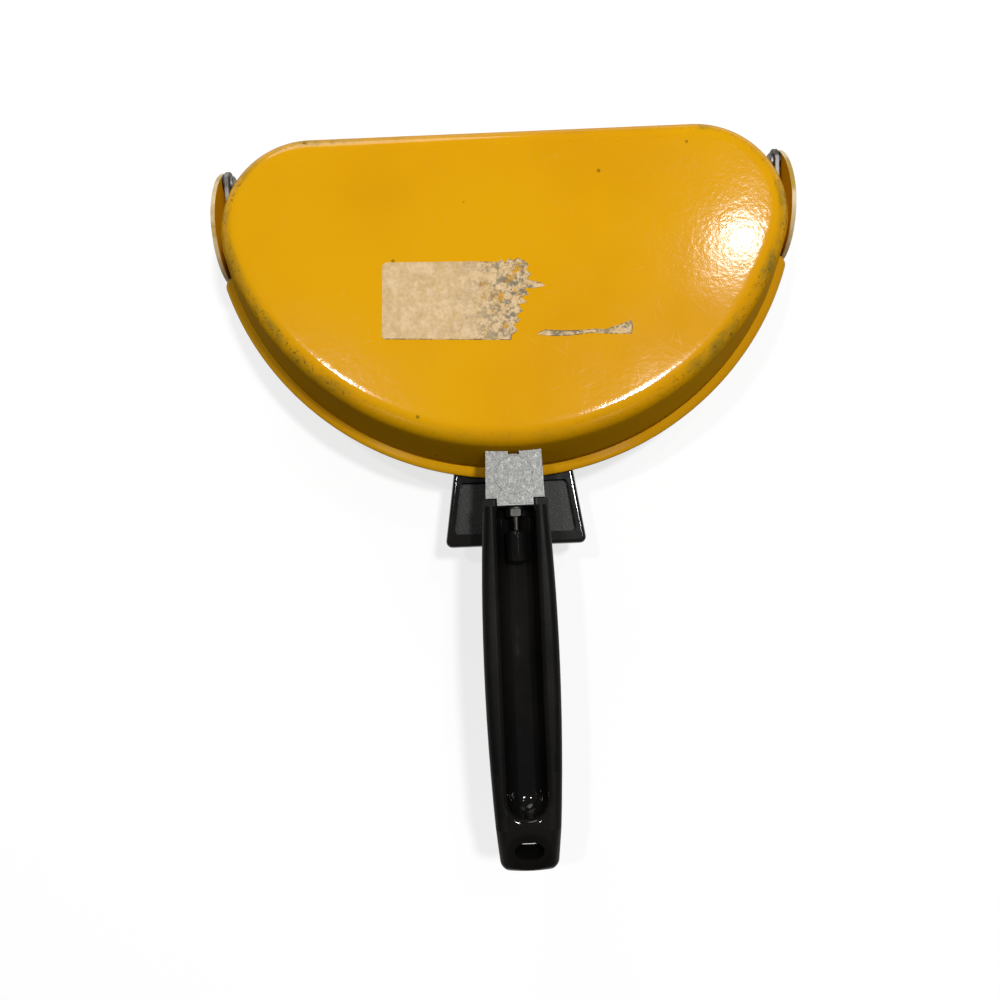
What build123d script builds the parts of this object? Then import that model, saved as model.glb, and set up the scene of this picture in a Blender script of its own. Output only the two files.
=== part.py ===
from build123d import *
from math import asin, atan, atan2, cos, degrees, pi, sin, sqrt
import os

# Frame: origin on the resting plane, below the centre of the curved front of the pan.
# X runs along the straight edge, the handles point to -Y, the hinge is at +Y, +Z is up.
# All sizes are millimetres.

# Pan outline where the rounded base edge ends, and how it grows with height.
FRONT_RADIUS = 118.8
STRAIGHT_EDGE_Y = 9.5
CORNER_RADIUS = 36.7
WALL_SLOPE = 0.2
STRAIGHT_WALL_SLOPE = 0.015
CORNER_GROWTH = 0.05

# Pressed sheet of both halves.
SHEET = 1.8
PAN_DEPTH = 34.0
BASE_EDGE_RADIUS = 8.0
RIM_GAP = 0.5
LIP_RUN = 4.0
LIP_DROP = 2.0
STRAIGHT_RIM_DROP = 3.0
STRAIGHT_RIM_CUT = 8.0

# Hinge.
HINGE_INSET = 4.9
HINGE_RAISE = 3.0
PIN_RADIUS = 2.0
FIT_GAP = 0.05
MOVING_GAP = 0.3
HINGE_WASHER_RADIUS = 4.4
HINGE_WASHER_THICKNESS = 0.8
PIN_HEAD_RADIUS = 3.6
PIN_HEAD_HEIGHT = 1.4
PIN_HEAD_ROUND = 1.1
PIN_TAIL_ROUND = 0.8
TONGUE_END_RADIUS = 5.3
TONGUE_REACH = 39.0
EAR_FRONT_REACH = 41.0
EAR_CREST_REACH = 19.0
EAR_REAR_REACH = 10.0
EAR_RISE = 14.0
EAR_FOOT_DROP = 14.0
EAR_SHELF_REACH = 4.5
EAR_SHELF_ROUND = 2.6
EAR_CORNER_ROUND = 3.0
EAR_CLEARANCE = 1.0

# Where the two curves of an ear pass between their ends, as shares of the way along Y and up Z.
EAR_FRONT_BULGE = (0.34, 0.7)
EAR_REAR_BULGE = (0.34, 0.73)

# Bracket between the upper pan and the long handle.
BRACKET_DROP = 11.0
BRACKET_REACH = 19.2
BRACKET_WIDTH = 23.4
BRACKET_WALL_WIDTH = 22.2
BRACKET_PLATE = 3.2
BRACKET_FOOT_HEIGHT = 17.0
BRACKET_LEG_LENGTH = 3.0
BRACKET_LEG_WIDTH = 14.4
BRACKET_LEG_HEIGHT = 14.0
BRACKET_EDGE_ROUND = 0.8
BRACKET_RIB = 2.6
BRACKET_RIB_DEPTH = 5.0
BRACKET_NOTCH_WIDTH = 4.4
BRACKET_NOTCH_DEPTH = 1.5
BRACKET_RING_RADIUS = 8.0
BRACKET_RING_WIDTH = 0.7
BRACKET_RING_HEIGHT = 0.35
RIVET_RADIUS = 2.2
RIVET_HEAD_RADIUS = 4.0
RIVET_HEAD_HEIGHT = 1.4
RIVET_HEAD_ROUND = 1.1
RIVET_TAIL_ROUND = 0.8
RIVET_HEAD_BED = 0.5
BRACKET_RIVET_SPACING = 12.0

# Stud, washer and nut (M4).
STUD_RADIUS = 2.0
STUD_DROP = 8.0
STUD_GRIP = 9.6
STUD_WASHER_RADIUS = 4.4
STUD_WASHER_THICKNESS = 0.9
NUT_FLATS = 7.0
NUT_HEIGHT = 3.2
NUT_CHAMFER = 0.45
STUD_HEAD_HEIGHT = 2.8

# Long handle.
HANDLE_LENGTH = 143.4
HANDLE_FRONT_WIDTH = 26.2
HANDLE_MIDDLE_WIDTH = 29.9
HANDLE_END_WIDTH = 22.7
HANDLE_HEIGHT = 17.0
HANDLE_TOP_ROUND = 3.6
HANDLE_BOTTOM_ROUND = 4.2
HANDLE_END_ROUND = 4.5
HANDLE_END_BOW = 1.0
LUG_DROP = 1.2
CHANNEL_WIDTH = 15.4
CHANNEL_DEPTH = 12.6
CHANNEL_END_ROUND = 7.4
CHANNEL_FLOOR_ROUND = 7.0
CHANNEL_LIP_ROUND = 2.2
CHANNEL_END_WALL = 22.0
HIP_LENGTH = 18.0
HIP_DROP = 8.0
HANGING_SLOT_WIDTH = 11.6
HANGING_SLOT_LENGTH = 7.8
HANGING_SLOT_INSET = 9.2
HANGING_SLOT_TILT = 12.0
BOSS_GAP = 9.6
BOSS_LENGTH = 13.0
BOSS_WALL = 2.3
BOSS_ROUND = 1.6
BOSS_BORE_DEPTH = 10.4

# Tab handle of the lower pan.
TAB_DROP = 2.6
TAB_HEIGHT = 11.0
TAB_GAP = 7.2
TAB_LENGTH = 30.0
TAB_INNER_WIDTH = 51.6
TAB_END_WIDTH = 60.4
TAB_WALL_GAP = 1.2
TAB_CORNER_ROUND = 2.6
TAB_EDGE_ROUND = 1.6
TAB_LOWER_ROUND = 2.4
RECESS_DEPTH = 3.0
RECESS_SIDE_RIM = 3.4
RECESS_END_RIM = 5.4
RECESS_INNER_RIM = 2.6
RECESS_ROUND = 1.6
TAB_BRACKET_WIDTH = 24.0
TAB_BRACKET_SHEET = 2.0
TAB_FOOT_DROP = 21.4
TAB_TONGUE_DROP = 8.8
TAB_TONGUE_WIDTH = 18.0
TAB_TONGUE_INSET = 8.0
TAB_SCREW_INSET = 16.0
TAB_SCREW_RADIUS = 2.0
TAB_SCREW_HEAD_RADIUS = 3.9
TAB_SCREW_HEAD_HEIGHT = 2.2
TAB_SCREW_HEAD_ROUND = 1.5
TAB_SCREW_SLOT = 1.0
TAB_SCREW_TIP = 1.0
TAB_WASHER_RADIUS = 4.6
TAB_WASHER_THICKNESS = 0.8
TAB_RIVET_SPACING = 14.0

# Overrun of cutting tools past the face that they cut.
CUT = 1.0

# Derived places.
CREASE_LEVEL = PAN_DEPTH - LIP_DROP
CLOSED_HEIGHT = 2 * PAN_DEPTH
HINGE_Z = PAN_DEPTH + HINGE_RAISE
WALL_LEAN = atan(WALL_SLOPE)
SHEET_ACROSS = SHEET / cos(WALL_LEAN)
LIP_UP = SHEET * sqrt(1 + (LIP_DROP / LIP_RUN) ** 2)
LIP_GROW = LIP_RUN - LIP_DROP * WALL_SLOPE
BRACKET_TOP = CLOSED_HEIGHT - BRACKET_DROP
BRACKET_RIVET_Z = BRACKET_TOP - (BRACKET_FOOT_HEIGHT + BRACKET_PLATE) / 2
BRACKET_SHOULDER_Y = -FRONT_RADIUS - BRACKET_REACH
BRACKET_END_Y = BRACKET_SHOULDER_Y - BRACKET_LEG_LENGTH
STUD_Z = BRACKET_TOP - STUD_DROP
NUT_START_Y = BRACKET_END_Y - STUD_WASHER_THICKNESS
BOSS_START_Y = BRACKET_END_Y - BOSS_GAP
HANDLE_END_Y = BRACKET_END_Y - HANDLE_LENGTH
HANDLE_LOW = BRACKET_TOP - HANDLE_HEIGHT
CHANNEL_END_Y = HANDLE_END_Y + CHANNEL_END_WALL
HIP_START_Y = HANDLE_END_Y + HIP_LENGTH
HIP_SLOPE = HIP_DROP / HIP_LENGTH
HANGING_SLOT_Y = HANDLE_END_Y + HANGING_SLOT_INSET
TAB_TOP = PAN_DEPTH - TAB_DROP
TAB_LOW = TAB_TOP - TAB_HEIGHT
TAB_FOOT_LOW = TAB_TOP - TAB_FOOT_DROP
TAB_TONGUE_LOW = TAB_TOP - TAB_TONGUE_DROP
TAB_TONGUE_HIGH = TAB_TONGUE_LOW + TAB_BRACKET_SHEET
TAB_RIVET_Z = (TAB_FOOT_LOW + TAB_TONGUE_LOW) / 2
TAB_INNER_Y = -FRONT_RADIUS - TAB_GAP
TAB_END_Y = TAB_INNER_Y - TAB_LENGTH
TAB_TONGUE_END_Y = TAB_END_Y + TAB_TONGUE_INSET
TAB_SCREW_Y = TAB_END_Y + TAB_SCREW_INSET


def outline_sizes(level, grow=0.0):
    """Front radius, straight edge and corner radius at a height above the base."""
    rise = level - BASE_EDGE_RADIUS
    front = FRONT_RADIUS + rise * WALL_SLOPE + grow
    straight = STRAIGHT_EDGE_Y + rise * STRAIGHT_WALL_SLOPE + grow
    corner = CORNER_RADIUS + rise * CORNER_GROWTH + grow
    return front, straight, corner


def half_width(level):
    """Half of the greatest width of the outline at a height above the base."""
    front, straight, corner = outline_sizes(level)
    return sqrt((front - corner) ** 2 - (straight - corner) ** 2) + corner


HINGE_Y = outline_sizes(PAN_DEPTH)[1] - HINGE_INSET
TONGUE_OUT_X = half_width(CREASE_LEVEL)
EAR_IN_X = TONGUE_OUT_X + MOVING_GAP + HINGE_WASHER_THICKNESS
EAR_OUT_X = EAR_IN_X + SHEET


def half_moon(level, grow=0.0, height=None):
    """D-shaped face of the outline, placed at a height (its own level by default)."""
    front, straight, corner = outline_sizes(level, grow)
    centre_y = straight - corner
    centre_x = sqrt((front - corner) ** 2 - centre_y ** 2)
    reach = front / (front - corner)
    touch = (centre_x * reach, centre_y * reach)
    turn = (pi / 2 + atan2(centre_y, centre_x)) / 2
    bend = (centre_x + corner * cos(turn), centre_y + corner * sin(turn))
    edges = [
        Line((-centre_x, straight), (centre_x, straight)),
        ThreePointArc((centre_x, straight), bend, touch),
        ThreePointArc(touch, (0, -front), (-touch[0], touch[1])),
        ThreePointArc((-touch[0], touch[1]), (-bend[0], bend[1]), (-centre_x, straight)),
    ]
    return Pos(0, 0, level if height is None else height) * Face(Wire(edges))


def wall_solid(low, high, grow, edge_radius):
    """Solid inside the flared wall between two levels, with its lower edge rounded."""
    solid = loft([half_moon(low, grow), half_moon(high, grow)], ruled=True)
    return fillet(solid.edges().group_by(Axis.Z)[0], edge_radius)


def pan_outside(high, grow=0.0):
    return wall_solid(0, high, grow, BASE_EDGE_RADIUS)


def pan_inside(high):
    return wall_solid(SHEET, high, -SHEET_ACROSS, BASE_EDGE_RADIUS - SHEET)


def turned_over(shape):
    """A shape of the bowl frame, upside down in its place on the closed pan."""
    return Pos(0, 0, CLOSED_HEIGHT) * mirror(shape, about=Plane.XY)


def along_x(radius, start, end, y=HINGE_Y, z=HINGE_Z):
    """Cylinder along X between two places."""
    middle = (start + end) / 2
    return Pos(middle, y, z) * Rot(0, 90, 0) * Cylinder(radius, abs(end - start))


def along_y(radius, start, end, x=0.0, z=0.0):
    middle = (start + end) / 2
    return Pos(x, middle, z) * Rot(90, 0, 0) * Cylinder(radius, abs(end - start))


def block(x_range, y_range, z_range):
    """Box from three ranges."""
    sizes = [abs(pair[1] - pair[0]) for pair in (x_range, y_range, z_range)]
    middle = [(pair[0] + pair[1]) / 2 for pair in (x_range, y_range, z_range)]
    return Pos(*middle) * Box(*sizes)


def both_sides(shape):
    """A shape of the +X side and its mirror image."""
    return [shape, mirror(shape, about=Plane.YZ)]


def ear():
    """Upright ear of the lower pan on the +X side, with the shelf that carries it."""
    crest_y = HINGE_Y - EAR_CREST_REACH
    crest_z = HINGE_Z + EAR_RISE
    front_y = HINGE_Y - EAR_FRONT_REACH
    rear_y = HINGE_Y + EAR_REAR_REACH
    foot_z = HINGE_Z - EAR_FOOT_DROP
    low_z = foot_z - SHEET
    front_z = PAN_DEPTH - LIP_DROP
    along, up = EAR_FRONT_BULGE
    front_middle = (front_y + along * (crest_y - front_y), front_z + up * (crest_z - front_z))
    along, up = EAR_REAR_BULGE
    rear_middle = (rear_y + along * (crest_y - rear_y), low_z + up * (crest_z - low_z))
    edges = [
        Line((front_y, low_z), (front_y, front_z)),
        ThreePointArc((front_y, front_z), front_middle, (crest_y, crest_z)),
        ThreePointArc((crest_y, crest_z), rear_middle, (rear_y, low_z)),
        Line((rear_y, low_z), (front_y, low_z)),
    ]
    plate = extrude(Plane.YZ.offset(EAR_IN_X) * Face(Wire(edges)), SHEET, dir=(1, 0, 0))
    rear_corner = plate.edges().filter_by(Axis.X).sort_by(Axis.Y)[-1]
    plate = fillet(rear_corner, EAR_CORNER_ROUND)
    shelf = block(
        (EAR_OUT_X - CORNER_RADIUS, EAR_OUT_X),
        (front_y, HINGE_Y + EAR_SHELF_REACH),
        (low_z, foot_z),
    )
    shelf = fillet(shelf.edges().filter_by(Axis.Z).group_by(Axis.X)[-1], EAR_SHELF_ROUND)
    return plate + shelf


def make_lower_pan():
    top = PAN_DEPTH - RIM_GAP
    body = pan_outside(top)
    for side in both_sides(ear()):
        body += side
    body -= pan_inside(top + SHEET)
    body -= block(
        (-TONGUE_OUT_X, TONGUE_OUT_X),
        (HINGE_Y - STRAIGHT_RIM_CUT, FRONT_RADIUS),
        (PAN_DEPTH - STRAIGHT_RIM_DROP, CLOSED_HEIGHT),
    )
    for hole in both_sides(along_x(PIN_RADIUS + FIT_GAP, TONGUE_OUT_X, EAR_OUT_X + SHEET)):
        body -= hole
    for hole in tab_rivet_tools(RIVET_RADIUS + FIT_GAP):
        body -= hole
    return body


def hinge_zone():
    """Everything within the sweep of the ears, where the upper pan has no lip."""
    side = EAR_OUT_X + LIP_RUN
    reach = EAR_FRONT_REACH + EAR_CLEARANCE
    return along_x(reach, -side, side) + block(
        (-side, side), (HINGE_Y, HINGE_Y + reach), (HINGE_Z - reach, HINGE_Z + reach)
    )


def lip_cone(up, over):
    """Cone along the slope of the lip, shifted up and carried past the lip's edge."""
    rise_per_run = LIP_DROP / LIP_RUN
    start = half_moon(CREASE_LEVEL, -SHEET, CREASE_LEVEL + up - SHEET * rise_per_run)
    end = half_moon(PAN_DEPTH, LIP_GROW + over, PAN_DEPTH + up + over * rise_per_run)
    return loft([start, end], ruled=True)


def lip_solids():
    """Solid under the outer face of the lip and the hollow above its inner face."""
    solid = lip_cone(0, 0) + extrude(half_moon(PAN_DEPTH, LIP_GROW), LIP_UP, dir=(0, 0, 1))
    return turned_over(solid), turned_over(lip_cone(LIP_UP, CUT))


def hinge_tongue():
    """Tongue of the upper pan on the +X side, with its round end about the hinge axis."""
    front_y = HINGE_Y - TONGUE_REACH
    edges = [
        Line((front_y, PAN_DEPTH), (HINGE_Y, PAN_DEPTH)),
        Line((HINGE_Y, PAN_DEPTH), (HINGE_Y, HINGE_Z + TONGUE_END_RADIUS)),
        Line((HINGE_Y, HINGE_Z + TONGUE_END_RADIUS), (front_y, PAN_DEPTH + LIP_DROP)),
        Line((front_y, PAN_DEPTH + LIP_DROP), (front_y, PAN_DEPTH)),
    ]
    arm = extrude(Plane.YZ.offset(TONGUE_OUT_X - SHEET) * Face(Wire(edges)), SHEET, dir=(1, 0, 0))
    return arm + along_x(TONGUE_END_RADIUS, TONGUE_OUT_X - SHEET, TONGUE_OUT_X)


def make_upper_pan():
    zone = hinge_zone()
    lip, under_lip = lip_solids()
    hollow = turned_over(pan_inside(PAN_DEPTH + SHEET))
    body = turned_over(pan_outside(PAN_DEPTH)) + (lip - zone)
    for tongue in both_sides(hinge_tongue()):
        body += tongue
    body -= under_lip - zone
    body -= hollow
    for hole in both_sides(along_x(PIN_RADIUS + FIT_GAP, TONGUE_OUT_X - 2 * SHEET, EAR_OUT_X)):
        body -= hole
    for hole in bracket_rivet_tools(RIVET_RADIUS + FIT_GAP):
        body -= hole
    return body


def make_hinge_pin():
    """Headed rivet of the +X side, clenched inside the tongue."""
    inner_face = TONGUE_OUT_X - SHEET - MOVING_GAP
    shank = along_x(PIN_RADIUS, inner_face, EAR_OUT_X)
    outer_head = along_x(PIN_HEAD_RADIUS, EAR_OUT_X, EAR_OUT_X + PIN_HEAD_HEIGHT)
    outer_head = fillet(outer_head.edges().group_by(Axis.X)[-1], PIN_HEAD_ROUND)
    inner_head = along_x(PIN_HEAD_RADIUS, inner_face - PIN_HEAD_HEIGHT, inner_face)
    inner_head = fillet(inner_head.edges().group_by(Axis.X)[0], PIN_TAIL_ROUND)
    return outer_head + shank + inner_head


def make_hinge_washer():
    ring = along_x(HINGE_WASHER_RADIUS, EAR_IN_X - HINGE_WASHER_THICKNESS, EAR_IN_X)
    return ring - along_x(PIN_RADIUS + FIT_GAP, TONGUE_OUT_X, EAR_OUT_X)


def wall_frame(x, z, grow, lean):
    """Place on the front wall at a width and height, with local Z pointing outward."""
    front = outline_sizes(CLOSED_HEIGHT - z if lean > 0 else z)[0] + grow
    angle = asin(x / front)
    return Pos(x, -front * cos(angle), z) * Rot(0, 0, degrees(angle)) * Rot(90 + degrees(lean), 0, 0)


def rivet_tools(spacing, z, lean, radius):
    """Drills along the rivets of a bracket."""
    tools = []
    for side in (-1, 1):
        place = wall_frame(side * spacing / 2, z, 0, lean)
        tools.append(place * Cylinder(radius, 8 * SHEET))
    return tools


def make_rivets(spacing, z, lean, foot, bracket, pan):
    """Two rivets with a head on the bracket foot and a flatter head inside the pan."""
    rivets = []
    for side in (-1, 1):
        place = wall_frame(side * spacing / 2, z, 0, lean)
        length = foot + SHEET
        shank = Pos(0, 0, (foot - SHEET) / 2) * Cylinder(RIVET_RADIUS, length)
        head = Pos(0, 0, foot + RIVET_HEAD_HEIGHT / 2) * Cylinder(RIVET_HEAD_RADIUS, RIVET_HEAD_HEIGHT)
        head = fillet(head.edges().group_by(Axis.Z)[-1], RIVET_HEAD_ROUND)
        head += Pos(0, 0, foot) * Cylinder(RIVET_HEAD_RADIUS, RIVET_HEAD_BED)
        inner = Pos(0, 0, -SHEET - RIVET_HEAD_HEIGHT / 2) * Cylinder(RIVET_HEAD_RADIUS, RIVET_HEAD_HEIGHT)
        inner = fillet(inner.edges().group_by(Axis.Z)[0], RIVET_TAIL_ROUND)
        inner += Pos(0, 0, -SHEET) * Cylinder(RIVET_HEAD_RADIUS, RIVET_HEAD_BED)
        rivets.append(place * (shank + head + inner) - bracket - pan)
    return rivets


def bracket_rivet_tools(radius):
    return rivet_tools(BRACKET_RIVET_SPACING, BRACKET_RIVET_Z, WALL_LEAN, radius)


def bracket_plan(inside_y):
    """Plan outline of the bracket, narrower at the wall than at its shoulder."""
    widen = (BRACKET_WIDTH - BRACKET_WALL_WIDTH) / 2 / BRACKET_REACH
    wall_half = BRACKET_WALL_WIDTH / 2 - widen * (inside_y + FRONT_RADIUS)
    half = BRACKET_WIDTH / 2
    points = [
        (-wall_half, inside_y),
        (wall_half, inside_y),
        (half, BRACKET_SHOULDER_Y),
        (-half, BRACKET_SHOULDER_Y),
    ]
    return make_face(Polyline(*points, close=True))


def bracket_slab(inside_y, low, high):
    return Pos(0, 0, low) * extrude(bracket_plan(inside_y), high - low, dir=(0, 0, 1))


def make_handle_bracket():
    inside_y = -FRONT_RADIUS + BASE_EDGE_RADIUS
    wall = turned_over(pan_outside(CREASE_LEVEL))
    near_wall = turned_over(pan_outside(CREASE_LEVEL, BRACKET_PLATE))
    plate_low = BRACKET_TOP - BRACKET_PLATE
    rib_half = BRACKET_WALL_WIDTH / 2 - BRACKET_RIB
    leg_half = BRACKET_LEG_WIDTH / 2
    leg_back = BRACKET_SHOULDER_Y + BRACKET_RIB
    body = bracket_slab(inside_y, plate_low - BRACKET_RIB_DEPTH, BRACKET_TOP)
    body -= block((-rib_half, rib_half), (leg_back, inside_y), (0, plate_low))
    body += bracket_slab(inside_y, BRACKET_TOP - BRACKET_FOOT_HEIGHT, BRACKET_TOP) & near_wall
    body += block(
        (-leg_half, leg_half), (BRACKET_END_Y, leg_back), (BRACKET_TOP - BRACKET_LEG_HEIGHT, BRACKET_TOP)
    )
    front_edge = body.edges().group_by(Axis.Y)[0].sort_by(Axis.Z)[-1]
    body = fillet(front_edge, BRACKET_EDGE_ROUND)
    ring = Cylinder(BRACKET_RING_RADIUS, 2 * BRACKET_RING_HEIGHT)
    ring -= Cylinder(BRACKET_RING_RADIUS - BRACKET_RING_WIDTH, 2 * BRACKET_RING_HEIGHT)
    body += Pos(0, (BRACKET_SHOULDER_Y - FRONT_RADIUS) / 2, BRACKET_TOP) * ring
    notch_y = -outline_sizes(CLOSED_HEIGHT - BRACKET_TOP)[0] - BRACKET_NOTCH_DEPTH
    notch_half = BRACKET_NOTCH_WIDTH / 2
    body -= block((-notch_half, notch_half), (notch_y, inside_y), (plate_low, BRACKET_TOP + CUT))
    body -= wall
    body -= along_y(STUD_RADIUS + FIT_GAP, BRACKET_END_Y - CUT, leg_back + CUT, z=STUD_Z)
    for hole in bracket_rivet_tools(RIVET_RADIUS + FIT_GAP):
        body -= hole
    return body


def make_bracket_rivets(bracket, pan):
    return make_rivets(
        BRACKET_RIVET_SPACING, BRACKET_RIVET_Z, WALL_LEAN, BRACKET_PLATE, bracket, pan
    )


def hexagon(y_start, y_end, z):
    """Hexagon prism along Y with two flats level."""
    radius = NUT_FLATS / sqrt(3)
    middle = (y_start + y_end) / 2
    prism = extrude(RegularPolygon(radius, 6), abs(y_end - y_start) / 2, both=True)
    return Pos(0, middle, z) * Rot(90, 0, 0) * prism


def make_handle_stud():
    """Hexagon-headed screw: head inside the bracket, free end in the boss of the handle."""
    leg_back = BRACKET_SHOULDER_Y + BRACKET_RIB
    end = BOSS_START_Y - STUD_GRIP
    head = hexagon(leg_back, leg_back + STUD_HEAD_HEIGHT, STUD_Z)
    return head + along_y(STUD_RADIUS, leg_back, end, z=STUD_Z)


def make_stud_washer():
    ring = along_y(STUD_WASHER_RADIUS, BRACKET_END_Y, NUT_START_Y, z=STUD_Z)
    return ring - along_y(STUD_RADIUS + FIT_GAP, BRACKET_END_Y + CUT, NUT_START_Y - CUT, z=STUD_Z)


def make_stud_nut():
    nut = hexagon(NUT_START_Y, NUT_START_Y - NUT_HEIGHT, STUD_Z)
    cone = Pos(0, NUT_START_Y - NUT_HEIGHT / 2, STUD_Z) * Rot(90, 0, 0)
    cone *= Cylinder(NUT_FLATS / sqrt(3), NUT_HEIGHT)
    cone = chamfer(cone.edges().filter_by(GeomType.CIRCLE), NUT_CHAMFER)
    bore = along_y(STUD_RADIUS + FIT_GAP, NUT_START_Y + CUT, NUT_START_Y - NUT_HEIGHT - CUT, z=STUD_Z)
    return (nut & cone) - bore


def handle_outline():
    """Plan outline of the long handle."""
    front_y = BRACKET_END_Y
    corner_y = HANDLE_END_Y + HANDLE_END_BOW
    front = HANDLE_FRONT_WIDTH / 2
    middle = HANDLE_MIDDLE_WIDTH / 2
    end = HANDLE_END_WIDTH / 2
    middle_y = (front_y + corner_y) / 2
    edges = [
        Line((-front, front_y), (front, front_y)),
        ThreePointArc((front, front_y), (middle, middle_y), (end, corner_y)),
        ThreePointArc((end, corner_y), (0, HANDLE_END_Y), (-end, corner_y)),
        ThreePointArc((-end, corner_y), (-middle, middle_y), (-front, front_y)),
    ]
    return Face(Wire(edges))


def hip_height(y):
    """Height of the top of the handle, which slopes down near the far end."""
    return BRACKET_TOP - max(0.0, HIP_START_Y - y) * HIP_SLOPE


def handle_body():
    """Solid handle with its sloping end, before the channel is cut."""
    body = Pos(0, 0, HANDLE_LOW) * extrude(handle_outline(), HANDLE_HEIGHT, dir=(0, 0, 1))
    corners = [e for e in body.edges().filter_by(Axis.Z) if e.center().Y < HIP_START_Y]
    body = fillet(corners, HANDLE_END_ROUND)
    bottom = body.edges().group_by(Axis.Z)[0]
    body = fillet([e for e in bottom if e.center().Y < BRACKET_END_Y - CUT], HANDLE_BOTTOM_ROUND)
    far_y = HANDLE_END_Y - CUT
    wedge = [
        (HIP_START_Y, BRACKET_TOP),
        (far_y, hip_height(far_y)),
        (far_y, BRACKET_TOP + CUT),
        (HIP_START_Y, BRACKET_TOP + CUT),
    ]
    cutter = Plane.YZ * make_face(Polyline(*wedge, close=True))
    body -= extrude(cutter, HANDLE_MIDDLE_WIDTH, both=True)
    top = [e for e in body.edges() if is_top_edge(e)]
    return fillet(top, HANDLE_TOP_ROUND)


def is_top_edge(edge):
    """Whether an edge of the solid handle runs round its top or its sloping end."""
    middle = edge.center()
    at_top = abs(middle.Z - hip_height(middle.Y)) < CUT / 2
    at_rim = abs(middle.X) > CUT or middle.Y < HIP_START_Y - CUT
    return at_top and at_rim and middle.Y < BRACKET_END_Y - CUT


def stud_boss():
    """Round boss round the end of the stud, on a web down to the floor of the channel."""
    radius = STUD_RADIUS + BOSS_WALL
    end_y = BOSS_START_Y - BOSS_LENGTH
    boss = along_y(radius, BOSS_START_Y, end_y, z=STUD_Z)
    boss += block((-radius, radius), (end_y, BOSS_START_Y), (HANDLE_LOW, STUD_Z))
    rims = [e for e in boss.edges() if e.center().Z > STUD_Z + CUT and e.geom_type == GeomType.CIRCLE]
    return fillet(rims, BOSS_ROUND)


def handle_channel():
    """Channel of the handle with the boss that takes the stud left standing in it."""
    floor_z = BRACKET_TOP - CHANNEL_DEPTH
    half = CHANNEL_WIDTH / 2
    open_y = BRACKET_END_Y + CUT
    channel = block((-half, half), (CHANNEL_END_Y, open_y), (floor_z, BRACKET_TOP + CUT))
    channel = fillet(channel.edges().filter_by(Axis.Z).group_by(Axis.Y)[0], CHANNEL_END_ROUND)
    bottom = channel.edges().group_by(Axis.Z)[0]
    channel = fillet([e for e in bottom if e.center().Y < open_y - CUT / 2], CHANNEL_FLOOR_ROUND)
    return channel


def make_long_handle():
    body = handle_body() - handle_channel()
    half = CHANNEL_WIDTH / 2
    lips = [
        e
        for e in body.edges()
        if abs(e.center().Z - BRACKET_TOP) < FIT_GAP
        and abs(e.center().X) < half + FIT_GAP
        and e.center().Y > CHANNEL_END_Y - FIT_GAP
        and e.center().Y < BRACKET_END_Y - CUT
    ]
    body = fillet(lips, CHANNEL_LIP_ROUND)
    body += stud_boss()
    body -= along_y(
        STUD_RADIUS + FIT_GAP, BOSS_START_Y + CUT, BOSS_START_Y - BOSS_BORE_DEPTH, z=STUD_Z
    )
    lug_in = BRACKET_LEG_WIDTH / 2 + MOVING_GAP
    for lug in both_sides(
        block(
            (lug_in, HANDLE_FRONT_WIDTH / 2),
            (BRACKET_END_Y - CHANNEL_LIP_ROUND, BRACKET_SHOULDER_Y - MOVING_GAP),
            (HANDLE_LOW + HANDLE_BOTTOM_ROUND, BRACKET_TOP - LUG_DROP),
        )
    ):
        body += lug
    slot_straight = HANGING_SLOT_WIDTH - HANGING_SLOT_LENGTH
    slot = extrude(SlotCenterToCenter(slot_straight, HANGING_SLOT_LENGTH), HANDLE_HEIGHT, both=True)
    place = Pos(0, HANGING_SLOT_Y, hip_height(HANGING_SLOT_Y)) * Rot(HANGING_SLOT_TILT, 0, 0)
    return body - place * slot


def tab_rivet_tools(radius):
    return rivet_tools(TAB_RIVET_SPACING, TAB_RIVET_Z, -WALL_LEAN, radius)


def make_tab_bracket():
    """Steel angle: a foot on the wall and a tongue inside the tab."""
    half = TAB_BRACKET_WIDTH / 2
    wall = pan_outside(CREASE_LEVEL)
    near_wall = pan_outside(CREASE_LEVEL, TAB_BRACKET_SHEET)
    inside_y = -FRONT_RADIUS + BASE_EDGE_RADIUS
    foot = block((-half, half), (TAB_END_Y, inside_y), (TAB_FOOT_LOW, TAB_TONGUE_HIGH)) & near_wall
    tongue_half = TAB_TONGUE_WIDTH / 2
    tongue = block(
        (-tongue_half, tongue_half), (TAB_TONGUE_END_Y, inside_y), (TAB_TONGUE_LOW, TAB_TONGUE_HIGH)
    )
    body = foot + tongue - wall
    body -= upright(TAB_SCREW_RADIUS + FIT_GAP, TAB_LOW, TAB_HEIGHT)
    for hole in tab_rivet_tools(RIVET_RADIUS + FIT_GAP):
        body -= hole
    return body


def make_tab_rivets(bracket, pan):
    return make_rivets(
        TAB_RIVET_SPACING, TAB_RIVET_Z, -WALL_LEAN, TAB_BRACKET_SHEET, bracket, pan
    )


def upright(radius, low, height):
    """Upright cylinder on the axis of the tab screw."""
    return Pos(0, TAB_SCREW_Y, low) * Cylinder(radius, height, align=(Align.CENTER, Align.CENTER, Align.MIN))


def tab_outline(inner_y, inset, end_inset):
    """Trapezoid of the tab in plan, drawn in by an inset at the sides and the end."""
    widen = (TAB_END_WIDTH - TAB_INNER_WIDTH) / TAB_LENGTH / 2
    end_y = TAB_END_Y + end_inset
    inner = TAB_INNER_WIDTH / 2 + widen * (TAB_INNER_Y - inner_y) - inset
    end = TAB_INNER_WIDTH / 2 + widen * (TAB_INNER_Y - end_y) - inset
    points = [(-inner, inner_y), (inner, inner_y), (end, end_y), (-end, end_y)]
    return make_face(Polyline(*points, close=True))


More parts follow.
